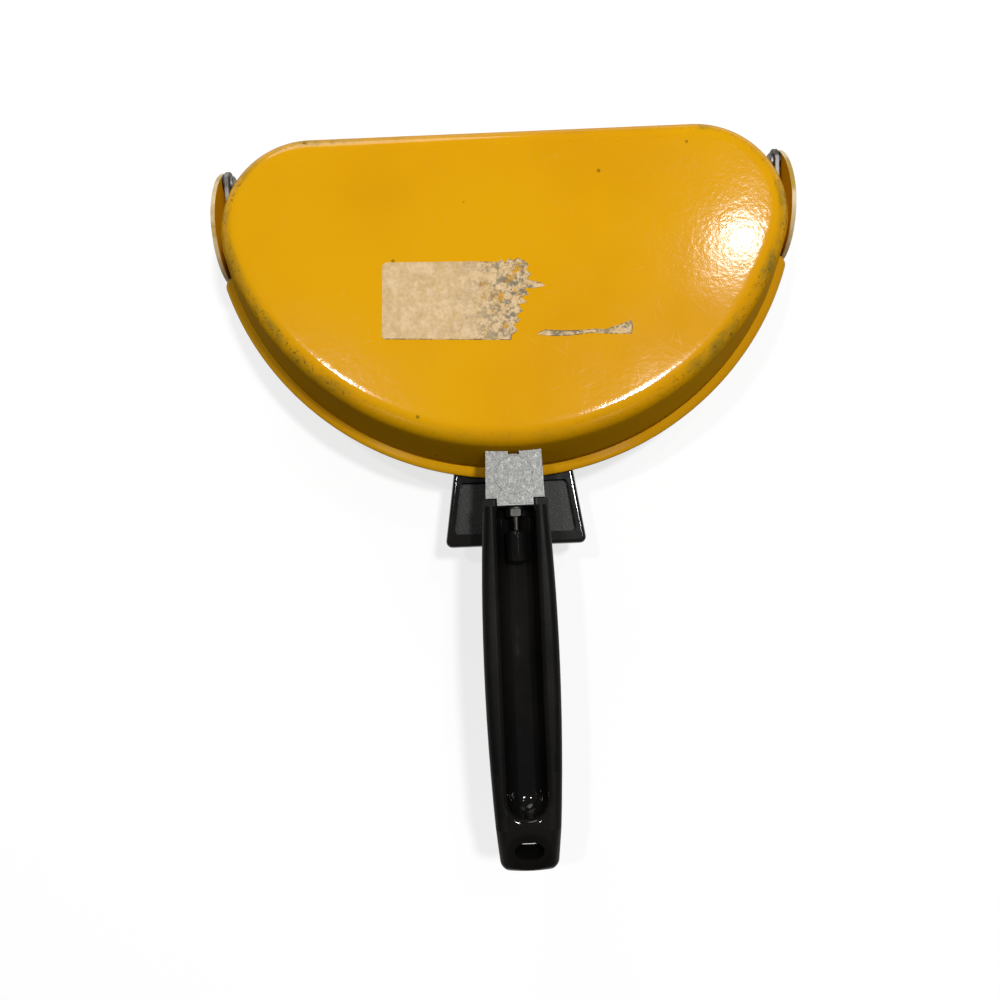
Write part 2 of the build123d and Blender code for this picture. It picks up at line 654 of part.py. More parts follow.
def tab_solid():
    """Tab with rounded edges, before its recess and seat are cut."""
    body = Pos(0, 0, TAB_LOW) * extrude(tab_outline(-FRONT_RADIUS, 0, 0), TAB_HEIGHT, dir=(0, 0, 1))
    body = fillet(body.edges().filter_by(Axis.Z).group_by(Axis.Y)[0], TAB_CORNER_ROUND)
    for group, size in ((-1, TAB_EDGE_ROUND), (0, TAB_LOWER_ROUND)):
        level = body.edges().group_by(Axis.Z)[group]
        body = fillet([e for e in level if e.center().Y < -FRONT_RADIUS - CUT], size)
    return body


def tab_recess():
    """Sunk top of the tab."""
    plan = tab_outline(TAB_INNER_Y - RECESS_INNER_RIM, RECESS_SIDE_RIM, RECESS_END_RIM)
    recess = extrude(plan, RECESS_DEPTH + CUT, dir=(0, 0, 1))
    recess = fillet(recess.edges().filter_by(lambda e: abs(e.tangent_at(0).Z) > 0.9), RECESS_ROUND)
    return Pos(0, 0, TAB_TOP - RECESS_DEPTH) * recess


def make_tab_handle():
    body = tab_solid() - tab_recess() - pan_outside(PAN_DEPTH, TAB_WALL_GAP)
    foot_half = TAB_BRACKET_WIDTH / 2 + TAB_WALL_GAP
    foot_y = -outline_sizes(TAB_TONGUE_LOW)[0] - TAB_BRACKET_SHEET - RIVET_HEAD_HEIGHT - TAB_WALL_GAP
    body -= block(
        (-foot_half, foot_half),
        (foot_y, -FRONT_RADIUS + CUT),
        (TAB_LOW - CUT, TAB_TONGUE_HIGH + TAB_WALL_GAP),
    )
    tongue_half = TAB_TONGUE_WIDTH / 2 + FIT_GAP
    body -= block(
        (-tongue_half, tongue_half),
        (TAB_TONGUE_END_Y - FIT_GAP, -FRONT_RADIUS),
        (TAB_TONGUE_LOW - FIT_GAP, TAB_TONGUE_HIGH + FIT_GAP),
    )
    bore_top = TAB_TONGUE_HIGH + TAB_SCREW_TIP + MOVING_GAP
    return body - upright(TAB_SCREW_RADIUS + FIT_GAP, TAB_LOW - CUT, bore_top - TAB_LOW + CUT)


def make_tab_screw_washer():
    ring = upright(TAB_WASHER_RADIUS, TAB_LOW - TAB_WASHER_THICKNESS, TAB_WASHER_THICKNESS)
    return ring - upright(TAB_SCREW_RADIUS + FIT_GAP, 0, CLOSED_HEIGHT)


def make_tab_screw():
    head_top = TAB_LOW - TAB_WASHER_THICKNESS
    head_low = head_top - TAB_SCREW_HEAD_HEIGHT
    head = upright(TAB_SCREW_HEAD_RADIUS, head_low, TAB_SCREW_HEAD_HEIGHT)
    head = fillet(head.edges().group_by(Axis.Z)[0], TAB_SCREW_HEAD_ROUND)
    slot_half = TAB_SCREW_SLOT / 2
    head -= block(
        (-TAB_SCREW_HEAD_RADIUS, TAB_SCREW_HEAD_RADIUS),
        (TAB_SCREW_Y - slot_half, TAB_SCREW_Y + slot_half),
        (head_low - CUT, head_low + TAB_SCREW_SLOT),
    )
    return head + upright(TAB_SCREW_RADIUS, head_top, TAB_TONGUE_HIGH + TAB_SCREW_TIP - head_top)


def save(node, *shapes):
    """Write one sub-part as a STEP file."""
    solids = [solid for shape in shapes for solid in shape.solids()]
    export_step(solids[0] if len(solids) == 1 else Compound(children=solids), f"parts/{node}.step")
    print(node, len(solids))


def main():
    os.makedirs("parts", exist_ok=True)
    lower_pan = make_lower_pan()
    upper_pan = make_upper_pan()
    save("lower_pan", lower_pan)
    save("upper_pan", upper_pan)
    right_pin, left_pin = both_sides(make_hinge_pin())
    save("hinge_pin_right", right_pin)
    save("hinge_pin_left", left_pin)
    right_washer, left_washer = both_sides(make_hinge_washer())
    save("hinge_washer_right", right_washer)
    save("hinge_washer_left", left_washer)
    bracket = make_handle_bracket()
    save("handle_bracket", bracket)
    save("handle_bracket_rivets", *make_bracket_rivets(bracket, upper_pan))
    save("handle_stud", make_handle_stud())
    save("stud_washer", make_stud_washer())
    save("stud_nut", make_stud_nut())
    save("long_handle", make_long_handle())
    tab_bracket = make_tab_bracket()
    save("tab_bracket", tab_bracket)
    save("tab_bracket_rivets", *make_tab_rivets(tab_bracket, lower_pan))
    save("tab_handle", make_tab_handle())
    save("tab_screw", make_tab_screw())
    save("tab_screw_washer", make_tab_screw_washer())


main()
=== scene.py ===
from math import acos, asin, atan, cos, pi, radians, sin, sqrt

import bmesh
import bpy
import numpy as np
from mathutils import Matrix, Vector


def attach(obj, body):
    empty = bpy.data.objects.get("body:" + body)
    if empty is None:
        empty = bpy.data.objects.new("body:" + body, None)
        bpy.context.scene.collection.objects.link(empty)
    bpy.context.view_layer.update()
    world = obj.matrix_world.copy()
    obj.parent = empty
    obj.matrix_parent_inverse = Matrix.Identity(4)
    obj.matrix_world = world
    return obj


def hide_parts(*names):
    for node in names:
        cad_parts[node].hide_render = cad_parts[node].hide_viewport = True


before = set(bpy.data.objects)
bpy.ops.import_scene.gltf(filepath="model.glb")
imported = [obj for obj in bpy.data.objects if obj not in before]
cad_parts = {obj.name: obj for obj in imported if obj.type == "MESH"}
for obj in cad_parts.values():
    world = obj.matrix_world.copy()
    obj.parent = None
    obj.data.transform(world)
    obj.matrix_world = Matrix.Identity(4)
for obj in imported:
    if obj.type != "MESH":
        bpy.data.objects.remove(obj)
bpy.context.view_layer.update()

MM = 0.001

# Pan sizes in millimetres, as in the part: the two shells are drawn again with smooth surfaces.
FRONT_RADIUS = 118.8
STRAIGHT_EDGE_Y = 9.5
CORNER_RADIUS = 36.7
WALL_SLOPE = 0.2
STRAIGHT_WALL_SLOPE = 0.015
CORNER_GROWTH = 0.05
SHEET = 1.8
PAN_DEPTH = 34.0
BASE_EDGE_RADIUS = 8.0
RIM_GAP = 0.5
STRAIGHT_RIM_DROP = 3.0
STRAIGHT_RIM_CUT = 8.0
WALL_LEAN = atan(WALL_SLOPE)
SHEET_ACROSS = SHEET / cos(WALL_LEAN)
CLOSED_HEIGHT = 2 * PAN_DEPTH

# Lip of the upper pan, narrower at both ends.
LIP_RUN = 4.0
LIP_DROP = 2.0
LIP_SLOPE = LIP_DROP / LIP_RUN
LIP_THICKNESS = SHEET * sqrt(1 + LIP_SLOPE ** 2)
LIP_TO_EAR = 1.0
LIP_END_SHARE = 0.75
LIP_TAPER_STEPS = 5
CREASE_LEVEL = PAN_DEPTH - LIP_DROP

# Hinge: ears on the lower pan, tongues on the upper one.
HINGE_INSET = 4.9
HINGE_Z = PAN_DEPTH + 3.0
HINGE_WASHER_THICKNESS = 0.8
MOVING_GAP = 0.3
TONGUE_END_RADIUS = 5.3
TONGUE_REACH = 39.0
EAR_FRONT_REACH = 41.0
EAR_CREST_REACH = 19.0
EAR_REAR_REACH = 10.0
EAR_RISE = 14.0
EAR_FOOT_DROP = 14.0
EAR_CORNER_ROUND = 3.0
EAR_FRONT_BULGE = (0.34, 0.7)
EAR_REAR_BULGE = (0.34, 0.73)
EAR_SHELF_REACH = 4.5
EAR_SHELF_ROUND = 2.6
EAR_SHELF_SINK = 0.2

# How finely the surfaces are drawn: steps round the four stretches of the outline, and points.
STRETCH_STEPS = (24, 32, 160, 32)
ROUNDING_POINTS = 10
WALL_RINGS = 5
WALL_START = 3.0
CREASE_RUNS = (-0.1, 0.4)
FLAT_RINGS = (12.0, 1.5)
RIM_SOFTNESS = SHEET / 4
LIP_CORNER_PLACES = 8
LIP_FRONT_STEPS = 180
EAR_FRONT_POINTS = 20
EAR_REAR_POINTS = 28
SHELF_POINTS = 24
TONGUE_END_POINTS = 30
CORNER_POINTS = 8
BEVEL_FROM_ANGLE = 35
WELD_DISTANCE = 1e-6

# Wear of the rounded base edge: level where it is strongest, spread, reach onto the flat base.
WEAR_LEVEL = 1.5
WEAR_SPREAD = 7.0
WEAR_REACH = 12.0
WEAR_FADE = 6.0
FLAT_BASE_FROM = 11.0
FLAT_BASE_WEAR = 0.4

# Paper left on the base, in millimetres on the upper face, chosen from the picture.
PAPER_SHEET = [
    (-48.5, -45.6), (-47.2, -44.4), (-30.0, -44.9), (-12.0, -45.4), (-3.3, -46.0), (-1.6, -45.0),
    (-0.2, -46.6), (1.0, -44.8), (3.2, -45.6), (4.6, -44.6), (7.5, -46.0), (9.0, -47.6), (7.8, -49.6),
    (9.8, -51.4), (8.0, -53.4), (13.8, -55.2), (15.2, -56.4), (10.4, -57.2), (7.0, -56.8), (8.6, -59.6),
    (5.4, -60.4), (7.8, -62.6), (4.2, -63.6), (6.0, -66.0), (3.2, -67.6), (4.8, -69.8), (2.2, -71.4),
    (3.6, -73.8), (1.4, -75.2), (0.9, -77.4), (-16.0, -76.6), (-33.0, -75.8), (-48.2, -75.1),
    (-49.4, -74.0), (-48.9, -60.0),
]
PAPER_STRIP = [
    (10.7, -75.5), (14.0, -73.8), (20.0, -74.4), (27.0, -74.6), (33.0, -74.3), (38.0, -74.6),
    (43.0, -73.0), (48.1, -71.4), (48.3, -74.2), (47.8, -76.9), (40.0, -76.6), (32.0, -75.9),
    (24.0, -76.6), (16.0, -76.5),
]
PAPER_THICKNESS = 0.06
DIRT_LINE = 0.35
DIRT_FROM_X = -20.0
DIRT_BELOW_Y = -74.6

# Camera, fitted to the outline: place in millimetres, turns in degrees, field in pixels.
CAMERA_PLACE = (-4.3, -166.6, CLOSED_HEIGHT + 320.0)
CAMERA_TURNS = (-4.82, -0.30, 2.31)
CAMERA_FOCAL_PIXELS = 839.4
PICTURE_PIXELS = 1000
SENSOR_MM = 36.0
CLIP_START = 0.01

# Floor in metres, and its brightness: its own glow, and how pale it is to the eye and to the object.
FLOOR_HALF = 3.0
FLOOR_DROP = 0.0005
FLOOR_GLOW = 0.74
FLOOR_LIT = 0.28
FLOOR_BOUNCE = 0.12

# Lamps as a place that they point at, the direction from it, distance and size in metres, watts.
LAMPS = {
    "lamp_right": ((0.048, -0.099, 0.066), (0.21, 0.10, 0.973), 1.65, 0.17, 18.0),
    "lamp_left": ((-0.066, -0.088, 0.066), (-0.23, 0.165, 0.958), 1.65, 0.08, 5.5),
    "lamp_highlight": ((0.092, -0.040, 0.068), (0.27, 0.354, 0.896), 1.35, 0.09, 1.2),
    "lamp_front_right": ((0.065, -0.100, 0.034), (0.40, -0.69, 0.60), 1.4, 0.30, 0.25),
    "lamp_front_left": ((-0.065, -0.100, 0.034), (-0.46, -0.65, 0.60), 1.4, 0.30, 0.25),
    "lamp_back": ((0.0, 0.0, 0.060), (-0.25, 0.90, 0.40), 1.6, 0.90, 7.0),
}
ROOM_LIGHT = 0.11

# Colours are linear red, green and blue.
WHITE = (1.0, 1.0, 1.0)
YELLOW = (0.72, 0.352, 0.0004)
YELLOW_DEEP = (0.66, 0.300, 0.0004)
# Painted shade of the enamel on steep walls.
YELLOW_PAINTED_SHADE = (0.30, 0.15, 0.006)
YELLOW_GRIMY = (0.24, 0.165, 0.014)
SCUFFED = (0.07, 0.052, 0.006)
SCRATCHED = (0.86, 0.60, 0.20)
RIM_THIN = (0.42, 0.28, 0.05)
RIM_GROUND = (0.66, 0.52, 0.29)
COATING_DARK = (0.075, 0.066, 0.058)
COATING_PALE = (0.12, 0.105, 0.09)
COATING_GRAIN = (0.2, 0.18, 0.16)
TRIM_COVERED = (0.20, 0.15, 0.035)
TRIM_BARE = (0.5, 0.46, 0.36)
BLACK = (0.0045, 0.0042, 0.004)
BLACK_CLOUDED = (0.009, 0.008, 0.007)
BLACK_MARKED = (0.03, 0.028, 0.025)
# Brownish painted sheen on the outer sides of the long handle.
BLACK_PAINTED_SHEEN = (0.0105, 0.0088, 0.006)
BLACK_GRAINED = (0.010, 0.0105, 0.009)
# Painted glints on the grain of the tab's sunk top.
BLACK_GLINT = (0.08, 0.08, 0.075)
CAST_DARK = (0.10, 0.10, 0.095)
CAST_PALE = (0.26, 0.26, 0.245)
CAST_MARKED = (0.60, 0.60, 0.58)
# Pale tilted faces of the bracket: rubbed edges together with a painted highlight.
CAST_RUBBED_AND_HIGHLIGHT = (0.90, 0.90, 0.88)
PAPER_TAN = (0.55, 0.36, 0.14)
PAPER_PALE = (0.73, 0.52, 0.29)
PAPER_DIRTY = (0.16, 0.13, 0.075)
DIRT_THIN = (0.55, 0.38, 0.14)
DIRT_THICK = (0.10, 0.07, 0.03)

# How far a surface faces up where it counts as the rounded base edge, and where as a wall.
ROUNDING_FACING = (0.995, 0.93)
WALL_FACING = (0.96, 0.6)

# Places in metres where a finish changes, each as the two ends of a soft step.
WEAR_GROWS_X = (0.045, 0.09)
CHANNEL_EDGE_X = (0.0077, 0.0089)
TAB_GRAIN_Z = (0.0296, 0.0290)
TORN_SIDE_X = (-0.030, 0.012)
SHEET_END_X = (0.0105, 0.0095)
HANGING_HOLE = (0.0, -0.2740, 0.0480)
HANGING_HOLE_REACH = 0.0125

# Material numbers on a pan's faces.
OUTSIDE, INSIDE, TRIMMED = 0, 1, 2


# Outline of the pan.


def outline_sizes(level, grow=0.0):
    """Front radius, straight edge and corner radius of the outline at a level."""
    rise = level - BASE_EDGE_RADIUS
    front = FRONT_RADIUS + rise * WALL_SLOPE + grow
    straight = STRAIGHT_EDGE_Y + rise * STRAIGHT_WALL_SLOPE + grow
    corner = CORNER_RADIUS + rise * CORNER_GROWTH + grow
    return front, straight, corner


def corner_centre(level, grow=0.0):
    """Centre of the right corner's arc."""
    front, straight, corner = outline_sizes(level, grow)
    y = straight - corner
    return sqrt((front - corner) ** 2 - y ** 2), y


def half_width(level):
    return corner_centre(level)[0] + outline_sizes(level)[2]


HINGE_Y = outline_sizes(PAN_DEPTH)[1] - HINGE_INSET
TONGUE_OUT_X = half_width(CREASE_LEVEL)
EAR_IN_X = TONGUE_OUT_X + MOVING_GAP + HINGE_WASHER_THICKNESS
EAR_OUT_X = EAR_IN_X + SHEET


def outline_point(level, grow, place):
    """Point of the outline; the whole part of place is the stretch, the rest the share of it.

    The stretches are the straight edge, the right corner, the front and the left corner.
    """
    front, straight, corner = outline_sizes(level, grow)
    x, y = corner_centre(level, grow)
    touch = asin(y / (front - corner))
    stretch = min(int(place), len(STRETCH_STEPS) - 1)
    share = place - stretch
    if stretch == 0:
        return (-x + 2 * x * share, straight)
    if stretch == 1:
        angle = pi / 2 + (touch - pi / 2) * share
        return (x + corner * cos(angle), y + corner * sin(angle))
    if stretch == 2:
        angle = touch - (pi + 2 * touch) * share
        return (front * cos(angle), front * sin(angle))
    angle = pi / 2 + (touch - pi / 2) * (1 - share)
    return (-x - corner * cos(angle), y + corner * sin(angle))


def corner_place(level, grow, y):
    """Place on the right corner where the outline has this y."""
    front, _, corner = outline_sizes(level, grow)
    centre_y = corner_centre(level, grow)[1]
    touch = asin(centre_y / (front - corner))
    angle = asin((y - centre_y) / corner)
    return 1 + (pi / 2 - angle) / (pi / 2 - touch)


def wall_offset(level):
    """How far the wall at a level is outside the base outline."""
    return (level - BASE_EDGE_RADIUS) * WALL_SLOPE


def ring_of(offset, level, places):
    """Ring of points at a distance outside the base outline, at a level."""
    grow = offset - wall_offset(level)
    return [(*outline_point(level, grow, place), level) for place in places]


def distance_inside(x, y):
    """How far a point is inside the base outline."""
    front, straight, corner = outline_sizes(BASE_EDGE_RADIUS)
    centre_x, centre_y = corner_centre(BASE_EDGE_RADIUS)
    if abs(x) > centre_x and y > centre_y:
        return corner - np.hypot(abs(x) - centre_x, y - centre_y)
    return min(front - np.hypot(x, y), straight - y)


# Mesh making.


def new_object(name, verts, faces, materials, face_materials, smooth=True):
    """Object from points in millimetres, welded and with its faces turned outward."""
    mesh = bpy.data.meshes.new(name)
    mesh.from_pydata([Vector(v) * MM for v in verts], [], faces)
    for material in materials:
        mesh.materials.append(material)
    mesh.polygons.foreach_set("material_index", face_materials)
    work = bmesh.new()
    work.from_mesh(mesh)
    bmesh.ops.remove_doubles(work, verts=work.verts, dist=WELD_DISTANCE)
    bmesh.ops.recalc_face_normals(work, faces=work.faces)
    work.to_mesh(mesh)
    work.free()
    mesh.polygons.foreach_set("use_smooth", [smooth] * len(mesh.polygons))
    thing = bpy.data.objects.new(name, mesh)
    bpy.context.scene.collection.objects.link(thing)
    return thing


def skin(rings, closed_rings, closed_loop=False):
    """Points and faces between rings of equal length, and the step that each face lies in."""
    count = len(rings[0])
    verts = [point for ring in rings for point in ring]
    faces = []
    steps = []
    last = len(rings) if closed_loop else len(rings) - 1
    for step in range(last):
        lower = step * count
        upper = ((step + 1) % len(rings)) * count
        for i in range(count if closed_rings else count - 1):
            j = (i + 1) % count
            faces.append((lower + i, lower + j, upper + j, upper + i))
            steps.append(step)
    return verts, faces, steps


def slab_faces(count):
    """Faces of a slab: one outline of count points, the other one, then its edge."""
    edge = [(i, (i + 1) % count, count + (i + 1) % count, count + i) for i in range(count)]
    return [tuple(range(count)), tuple(range(count, 2 * count))] + edge


def upside_down(rings):
    """The same rings on the upper pan, which lies turned over on the lower one."""
    return [[(x, y, CLOSED_HEIGHT - z) for x, y, z in ring] for ring in rings]


def edge_bevel(thing, width, segments=3):
    """Rounds the sharp edges of a piece; the width is in millimetres."""
    bevel = thing.modifiers.new("edges", "BEVEL")
    bevel.width = width * MM
    bevel.segments = segments
    bevel.limit_method = "ANGLE"
    bevel.angle_limit = radians(BEVEL_FROM_ANGLE)
    bevel.harden_normals = True
    bevel.use_clamp_overlap = True


def circle_arc(start, middle, end, count):
    """Points on the circle through three points of a plane, from start to end."""
    (ax, ay), (bx, by), (cx, cy) = start, middle, end
    d = 2 * (ax * (by - cy) + bx * (cy - ay) + cx * (ay - by))
    a2, b2, c2 = ax * ax + ay * ay, bx * bx + by * by, cx * cx + cy * cy
    ux = (a2 * (by - cy) + b2 * (cy - ay) + c2 * (ay - by)) / d
    uy = (a2 * (cx - bx) + b2 * (ax - cx) + c2 * (bx - ax)) / d
    angles = [np.arctan2(y - uy, x - ux) for x, y in (start, middle, end)]
    first, _, final = np.unwrap(angles)
    radius = np.hypot(ax - ux, ay - uy)
    return [(ux + radius * cos(t), uy + radius * sin(t)) for t in np.linspace(first, final, count)]


def rounded_corner(before, corner, after, radius):
    """Arc that rounds the corner between two straight runs of a plane outline."""
    corner = Vector(corner)
    back = (Vector(before) - corner).normalized()
    ahead = (Vector(after) - corner).normalized()
    half = acos(back.dot(ahead)) / 2
    bisector = (back + ahead).normalized()
    middle = corner + bisector * (radius / sin(half))
    start = corner + back * (radius * cos(half) / sin(half))
    end = corner + ahead * (radius * cos(half) / sin(half))
    return circle_arc(tuple(start), tuple(middle - bisector * radius), tuple(end), CORNER_POINTS)


# Materials. A noise starts with its cycles a metre, and a soft step with the two ends of its range.


class Graph:
    """A node material under construction."""

    def __init__(self, name):
        self.material = bpy.data.materials.new(name)
        self.material.use_nodes = True
        self.tree = self.material.node_tree
        self.shader = self.tree.nodes["Principled BSDF"]
        self.coordinates = self.node("ShaderNodeTexCoord").outputs
        self.place = self.coordinates["Object"]

    def node(self, kind, **settings):
        made = self.tree.nodes.new(kind)
        for key, value in settings.items():
            setattr(made, key, value)
        return made

    def feed(self, socket, value):
        """Links a socket to another one, or gives it a value."""
        if isinstance(value, bpy.types.NodeSocket):
            self.tree.links.new(value, socket)
        elif isinstance(value, tuple) and len(value) == 3 and socket.type == "RGBA":
            socket.default_value = (*value, 1.0)
        else:
            socket.default_value = value

    def fed(self, kind, inputs, **settings):
        """A new node with these inputs, by name."""
        made = self.node(kind, **settings)
        for name, value in inputs.items():
            self.feed(made.inputs[name], value)
        return made

    def calc(self, operation, first, second=0.0):
        made = self.node("ShaderNodeMath", operation=operation)
        self.feed(made.inputs[0], first)
        self.feed(made.inputs[1], second)
        return made.outputs[0]

    def times(self, first, second):
        return self.calc("MULTIPLY", first, second)

    def plus(self, first, second):
        return self.calc("ADD", first, second)

    def larger(self, first, second):
        return self.calc("MAXIMUM", first, second)

    def span(self, value, low, high, to_low=0.0, to_high=1.0):
        """Soft step from to_low, where the value is low, to to_high, where it is high."""
        inputs = {"Value": value, "From Min": low, "From Max": high, "To Min": to_low, "To Max": to_high}
        return self.fed("ShaderNodeMapRange", inputs, interpolation_type="SMOOTHSTEP").outputs["Result"]

    def mix(self, share, first, second):
        made = self.fed("ShaderNodeMix", {"Factor": share}, data_type="RGBA")
        colors = [socket for socket in made.inputs if socket.type == "RGBA"]
        self.feed(colors[0], first)
        self.feed(colors[1], second)
        return next(socket for socket in made.outputs if socket.type == "RGBA")

    def tinted(self, color, share, strength, tint):
        """The colour with a tint over it, as strong as the share times the strength."""
        return self.mix(self.times(share, strength), color, tint)

    def noise(self, scale, detail=4.0, roughness=0.55, vector=None):
        place = self.place if vector is None else vector
        inputs = {"Vector": place, "Scale": scale, "Detail": detail, "Roughness": roughness}
        return self.fed("ShaderNodeTexNoise", inputs).outputs["Fac"]

    def patches(self, scale, low, high, to_low=0.0, to_high=1.0, **look):
        """Cloudy patches: to_low where the noise is under low, to_high where it is over high."""
        return self.span(self.noise(scale, **look), low, high, to_low, to_high)

    def cells(self, scale, output):
        inputs = {"Vector": self.place, "Scale": scale}
        return self.fed("ShaderNodeTexVoronoi", inputs, feature="F1").outputs[output]

    def attribute(self, name):
        return self.node("ShaderNodeAttribute", attribute_name=name).outputs["Fac"]

    def along(self, vector, axis):
        return self.fed("ShaderNodeSeparateXYZ", {"Vector": vector}).outputs[axis]

    def from_middle(self):
        """Distance to the plane that halves the object from left to right."""
        return self.calc("ABSOLUTE", self.along(self.place, "X"))

    def facing_up(self):
        """How far the surface faces along the piece's own Z: 1 on a flat top or base, 0 on a wall."""
        return self.calc("ABSOLUTE", self.along(self.coordinates["Normal"], "Z"))

    def scratches(self, turn, length, width, rarity):
        """Thin straight scratches in one direction: 1 on a scratch. A rarity near 0.8 leaves few."""
        inputs = {
            "Vector": self.place,
            "Location": (turn, -turn, 0),
            "Rotation": (0, 0, radians(turn)),
            "Scale": (length, width, 1),
        }
        mapping = self.fed("ShaderNodeMapping", inputs, vector_type="TEXTURE")
        return self.patches(1.0, rarity, rarity + 0.03, detail=0.0, vector=mapping.outputs["Vector"])

    def many_scratches(self, turns, length, width, rarity):
        marks = self.scratches(turns[0], length, width, rarity)
        for turn in turns[1:]:
            marks = self.larger(marks, self.scratches(turn, length, width, rarity))
        return marks

    def spot(self, centre, radius):
        """1 inside a ball round a point, with a soft edge."""
        away = self.node("ShaderNodeVectorMath", operation="DISTANCE")
        self.feed(away.inputs[0], self.place)
        self.feed(away.inputs[1], centre)
        return self.span(away.outputs["Value"], radius, radius * 0.7)

    def bump(self, height, strength, distance, below=None):
        inputs = {"Height": height, "Strength": strength, "Distance": distance}
        if below is not None:
            inputs["Normal"] = below
        return self.fed("ShaderNodeBump", inputs).outputs["Normal"]

    def finish(self, color, roughness, normal=None, metallic=0.0, specular=None):
        """Feeds the shader and returns the material."""
        inputs = {
            "Base Color": color,
            "Roughness": roughness,
            "Metallic": metallic,
            "Normal": normal,
            "Specular IOR Level": specular,
        }
        for name, value in inputs.items():
            if value is not None:
                self.feed(self.shader.inputs[name], value)
        return self.material


def enamel():
    """Glossy yellow enamel: worn along the base edge, a few scratches and specks; walls less glossy and
    painted darker as shade.
    """
    g = Graph("yellow_enamel")
    upright = g.facing_up()
    wall = g.span(upright, *WALL_FACING)
    edge = g.times(g.attribute("edge"), g.span(upright, *ROUNDING_FACING))
    edge = g.times(edge, g.span(g.from_middle(), *WEAR_GROWS_X, 0.2, 1.0))
    worn = g.times(edge, g.patches(24.0, 0.28, 0.50, detail=3.0))
    grime = g.times(worn, g.patches(70.0, 0.4, 0.7))
    scuff = g.times(worn, g.patches(620.0, 0.55, 0.62, detail=5.0, roughness=0.7))
    few_cells = g.span(g.cells(95.0, "Color"), 0.76, 0.80)
    speck = g.times(few_cells, g.span(g.cells(95.0, "Distance"), 0.09, 0.05))
    marks = g.many_scratches((20, 75, -38, -80), 0.012, 0.0004, 0.81)
    color = g.mix(g.patches(9.0, 0.35, 0.7, detail=3.0), YELLOW, YELLOW_DEEP)
    color = g.tinted(color, grime, 0.9, YELLOW_GRIMY)
    color = g.tinted(color, scuff, 0.8, SCUFFED)
    color = g.tinted(color, speck, 0.6, SCUFFED)
    color = g.tinted(color, marks, 0.08, SCRATCHED)
    # Steep walls are tinted toward a darker yellow: painted shade.
    color = g.tinted(color, wall, 0.15, YELLOW_PAINTED_SHADE)
    dull = g.larger(wall, scuff)
    rough = g.plus(g.patches(40.0, 0.3, 0.75, 0.09, 0.13, detail=5.0), g.times(dull, 0.4))
    rough = g.plus(rough, g.times(marks, 0.06))
    peel = g.bump(g.noise(480.0, detail=2.0), 0.09, 0.0004)
    wave = g.bump(g.noise(18.0, detail=1.0), 0.10, 0.004, below=peel)
    cut = g.bump(g.times(scuff, -1.0), 0.3, 0.0001, below=wave)
    return g.finish(color, rough, cut, specular=g.span(dull, 0.0, 1.0, 0.38, 0.0015))


def worn_rim():
    """Rim of an ear, where the enamel is rubbed pale down to its white ground."""
    g = Graph("worn_rim")
    rub = g.patches(90.0, 0.35, 0.6, detail=5.0)
    color = g.mix(rub, RIM_THIN, RIM_GROUND)
    return g.finish(color, g.span(rub, 0.0, 1.0, 0.3, 0.5), g.bump(g.noise(600.0), 0.2, 0.0001))


def nonstick():
    """Dull grey-brown non-stick coating with a fine grain."""
    g = Graph("nonstick_coating")
    grain = g.noise(900.0, detail=3.0)
    color = g.mix(g.patches(60.0, 0.35, 0.7), COATING_DARK, COATING_PALE)
    color = g.mix(g.span(grain, 0.62, 0.75), color, COATING_GRAIN)
    return g.finish(color, g.span(grain, 0.3, 0.7, 0.42, 0.6), g.bump(grain, 0.25, 0.0001))


def bare_edge():
    """Trimmed edge of the sheet, thinly covered and rubbed bare in places."""
    g = Graph("trimmed_edge")
    rub = g.patches(120.0, 0.42, 0.62, detail=5.0)
    color = g.mix(rub, TRIM_COVERED, TRIM_BARE)
    return g.finish(color, 0.42, g.bump(g.noise(700.0), 0.3, 0.0001), metallic=g.times(rub, 0.8))


def start_phenolic(name, base_rough):
    """Black moulded phenolic, clouded and faintly rippled: its graph, colour, roughness and bump."""
    g = Graph(name)
    color = g.mix(g.patches(35.0, 0.35, 0.75), BLACK, BLACK_CLOUDED)
    rough = g.patches(48.0, 0.45, 0.8, base_rough, base_rough + 0.14, detail=6.0)
    ripple = g.bump(g.noise(30.0, detail=2.0), 0.12, 0.0025)
    fine = g.bump(g.noise(650.0, detail=3.0), 0.08, 0.0001, below=ripple)
    return g, color, rough, fine


def handle_phenolic():
    """Phenolic of the long handle: glossy in the channel, duller outside it, with flow marks and a
    brownish painted sheen on the outer sides.
    """
    g, color, rough, fine = start_phenolic("black_phenolic", 0.06)
    marks = g.many_scratches((84, 96), 0.02, 0.0004, 0.78)
    color = g.tinted(color, marks, 0.2, BLACK_MARKED)
    outside = g.span(g.from_middle(), *CHANNEL_EDGE_X)
    # The steep outer sides get a brownish tint: a painted sheen, as of a dim reflection at a grazing
    # angle.
    side = g.times(outside, g.span(g.facing_up(), 0.9, 0.6))
    color = g.mix(side, color, BLACK_PAINTED_SHEEN)
    rough = g.plus(rough, g.times(outside, 0.35))
    hole_rim = g.span(g.facing_up(), 0.9998, 0.997)
    hole = g.times(g.spot(HANGING_HOLE, HANGING_HOLE_REACH), hole_rim)
    dull = g.larger(g.times(outside, 0.7), hole)
    return g.finish(color, rough, fine, specular=g.span(dull, 0.0, 1.0, 0.3, 0.0))


